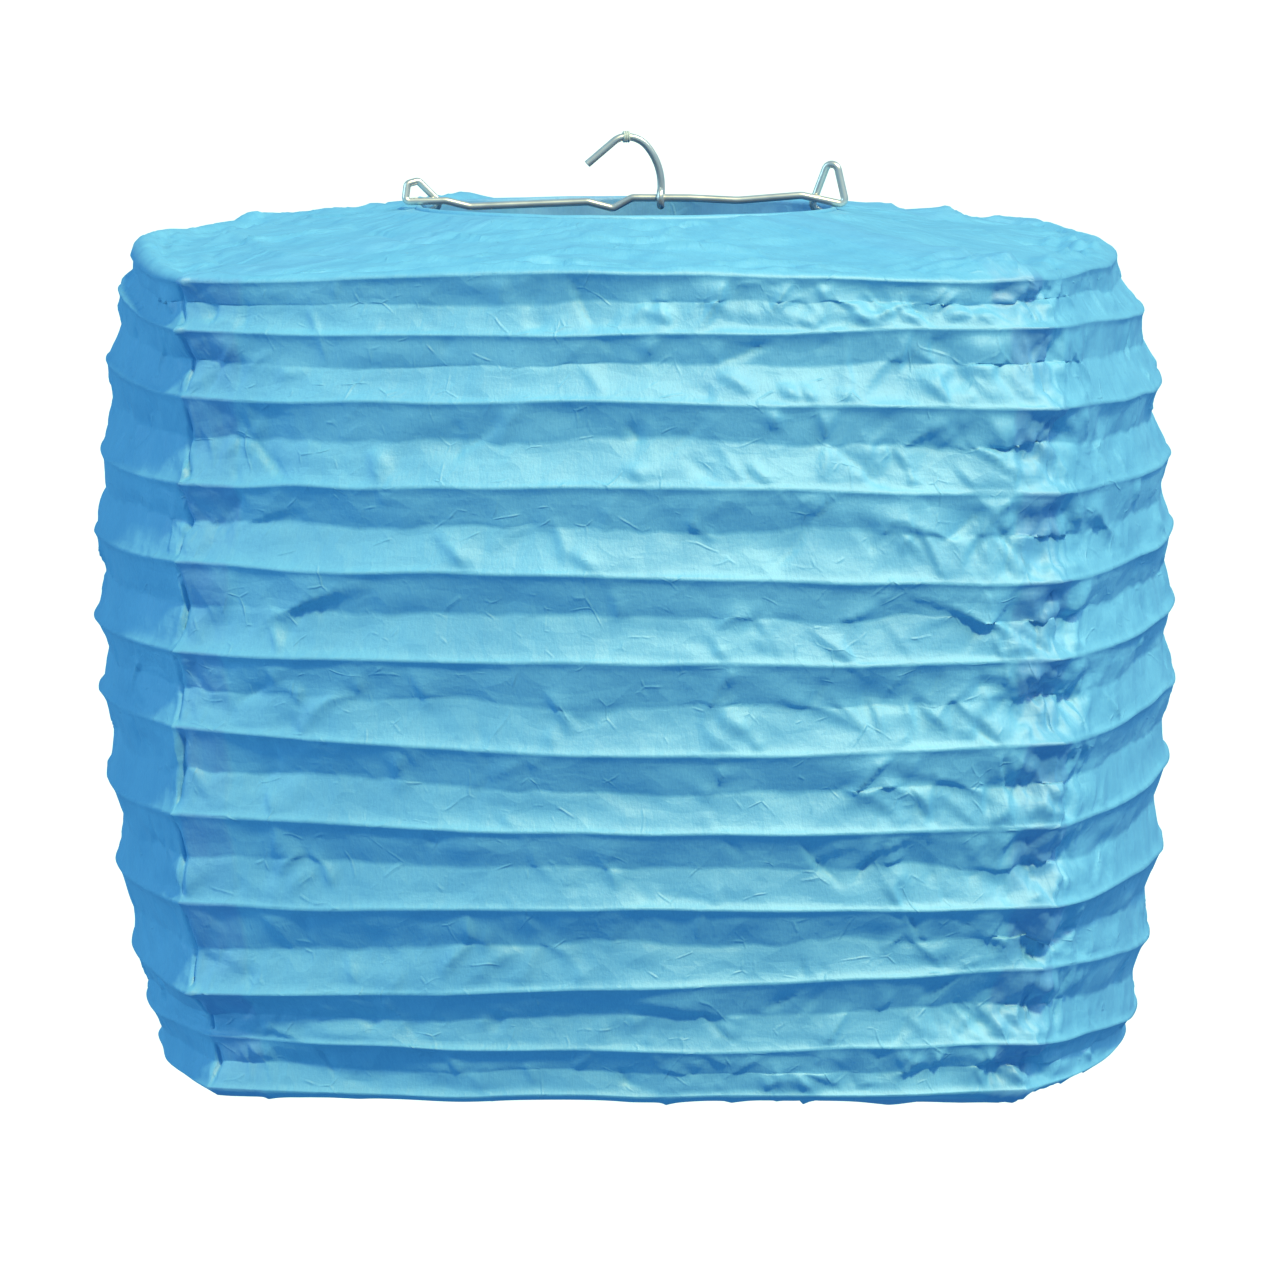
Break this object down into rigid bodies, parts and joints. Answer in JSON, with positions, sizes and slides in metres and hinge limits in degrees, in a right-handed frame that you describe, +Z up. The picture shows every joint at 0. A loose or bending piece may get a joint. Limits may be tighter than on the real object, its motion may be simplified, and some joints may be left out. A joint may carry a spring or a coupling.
{
  "type": "accordion paper lantern",
  "caption": "Square pleated tissue lantern with bowed sides on wire rib hoops, open round mouths top and bottom, held open by a bent wire expander and hung from a small swivelling wire hook.",
  "frame": {"origin": "the hook's seat: the underside of the hook's crown, where the hanging line or nail bears", "axes": "+Z up along the lantern's axis, front face towards -Y, crossbar of the expander along X"},
  "size_m": [0.2032, 0.2032, 0.181],
  "materials": {
    "tissue_paper": "matte, fibrous, crumpled",
    "steel_wire": "bright drawn wire",
    "clear_line": "clear nylon"
  },
  "bodies": {
    "hook": {"hanging_hook": "steel_wire", "line_wrap": "clear_line"},
    "frame": {"wire_expander": "steel_wire", "top_ring": "steel_wire", "paper_panel_front": "tissue_paper", "paper_panel_right": "tissue_paper", "paper_panel_back": "tissue_paper", "paper_panel_left": "tissue_paper"},
    "bottom_ring": {"bottom_ring": "steel_wire"},
    "rib_01": {"rib_01": "steel_wire"},
    "rib_02": {"rib_02": "steel_wire"},
    "rib_03": {"rib_03": "steel_wire"},
    "rib_04": {"rib_04": "steel_wire"},
    "rib_05": {"rib_05": "steel_wire"},
    "rib_06": {"rib_06": "steel_wire"},
    "rib_07": {"rib_07": "steel_wire"},
    "rib_08": {"rib_08": "steel_wire"},
    "rib_09": {"rib_09": "steel_wire"},
    "rib_10": {"rib_10": "steel_wire"},
    "rib_11": {"rib_11": "steel_wire"},
    "rib_12": {"rib_12": "steel_wire"}
  },
  "joints": [
    {"name": "hook_swing", "type": "hinge", "parent": "hook", "child": "frame", "pos_m": [0, 0, -0.0108], "axis": [1, 0, 0], "range_deg": [-90, 90]},
    {"name": "accordion_fold", "type": "slide", "parent": "frame", "child": "bottom_ring", "axis": [0, 0, 1], "range_m": [0, 0.13608], "deforming": ["paper_panel_front", "paper_panel_right", "paper_panel_back", "paper_panel_left"]},
    {"name": "rib_01_slide", "type": "slide", "parent": "frame", "child": "rib_01", "axis": [0, 0, 1], "range_m": [0, 0.00583]},
    {"name": "rib_02_slide", "type": "slide", "parent": "frame", "child": "rib_02", "axis": [0, 0, 1], "range_m": [0, 0.01339]},
    {"name": "rib_03_slide", "type": "slide", "parent": "frame", "child": "rib_03", "axis": [0, 0, 1], "range_m": [0, 0.02422]},
    {"name": "rib_04_slide", "type": "slide", "parent": "frame", "child": "rib_04", "axis": [0, 0, 1], "range_m": [0, 0.03708]},
    {"name": "rib_05_slide", "type": "slide", "parent": "frame", "child": "rib_05", "axis": [0, 0, 1], "range_m": [0, 0.04993]},
    {"name": "rib_06_slide", "type": "slide", "parent": "frame", "child": "rib_06", "axis": [0, 0, 1], "range_m": [0, 0.06278]},
    {"name": "rib_07_slide", "type": "slide", "parent": "frame", "child": "rib_07", "axis": [0, 0, 1], "range_m": [0, 0.07563]},
    {"name": "rib_08_slide", "type": "slide", "parent": "frame", "child": "rib_08", "axis": [0, 0, 1], "range_m": [0, 0.08848]},
    {"name": "rib_09_slide", "type": "slide", "parent": "frame", "child": "rib_09", "axis": [0, 0, 1], "range_m": [0, 0.10134]},
    {"name": "rib_10_slide", "type": "slide", "parent": "frame", "child": "rib_10", "axis": [0, 0, 1], "range_m": [0, 0.11419]},
    {"name": "rib_11_slide", "type": "slide", "parent": "frame", "child": "rib_11", "axis": [0, 0, 1], "range_m": [0, 0.12418]},
    {"name": "rib_12_slide", "type": "slide", "parent": "frame", "child": "rib_12", "axis": [0, 0, 1], "range_m": [0, 0.13107]}
  ],
  "couplings": [
    {"joint": "rib_01_slide", "follows": "accordion_fold", "ratio": 0.041358},
    {"joint": "rib_02_slide", "follows": "accordion_fold", "ratio": 0.096914},
    {"joint": "rib_03_slide", "follows": "accordion_fold", "ratio": 0.17654},
    {"joint": "rib_04_slide", "follows": "accordion_fold", "ratio": 0.27099},
    {"joint": "rib_05_slide", "follows": "accordion_fold", "ratio": 0.36543},
    {"joint": "rib_06_slide", "follows": "accordion_fold", "ratio": 0.45988},
    {"joint": "rib_07_slide", "follows": "accordion_fold", "ratio": 0.55432},
    {"joint": "rib_08_slide", "follows": "accordion_fold", "ratio": 0.64877},
    {"joint": "rib_09_slide", "follows": "accordion_fold", "ratio": 0.74321},
    {"joint": "rib_10_slide", "follows": "accordion_fold", "ratio": 0.83765},
    {"joint": "rib_11_slide", "follows": "accordion_fold", "ratio": 0.91111},
    {"joint": "rib_12_slide", "follows": "accordion_fold", "ratio": 0.96173}
  ]
}
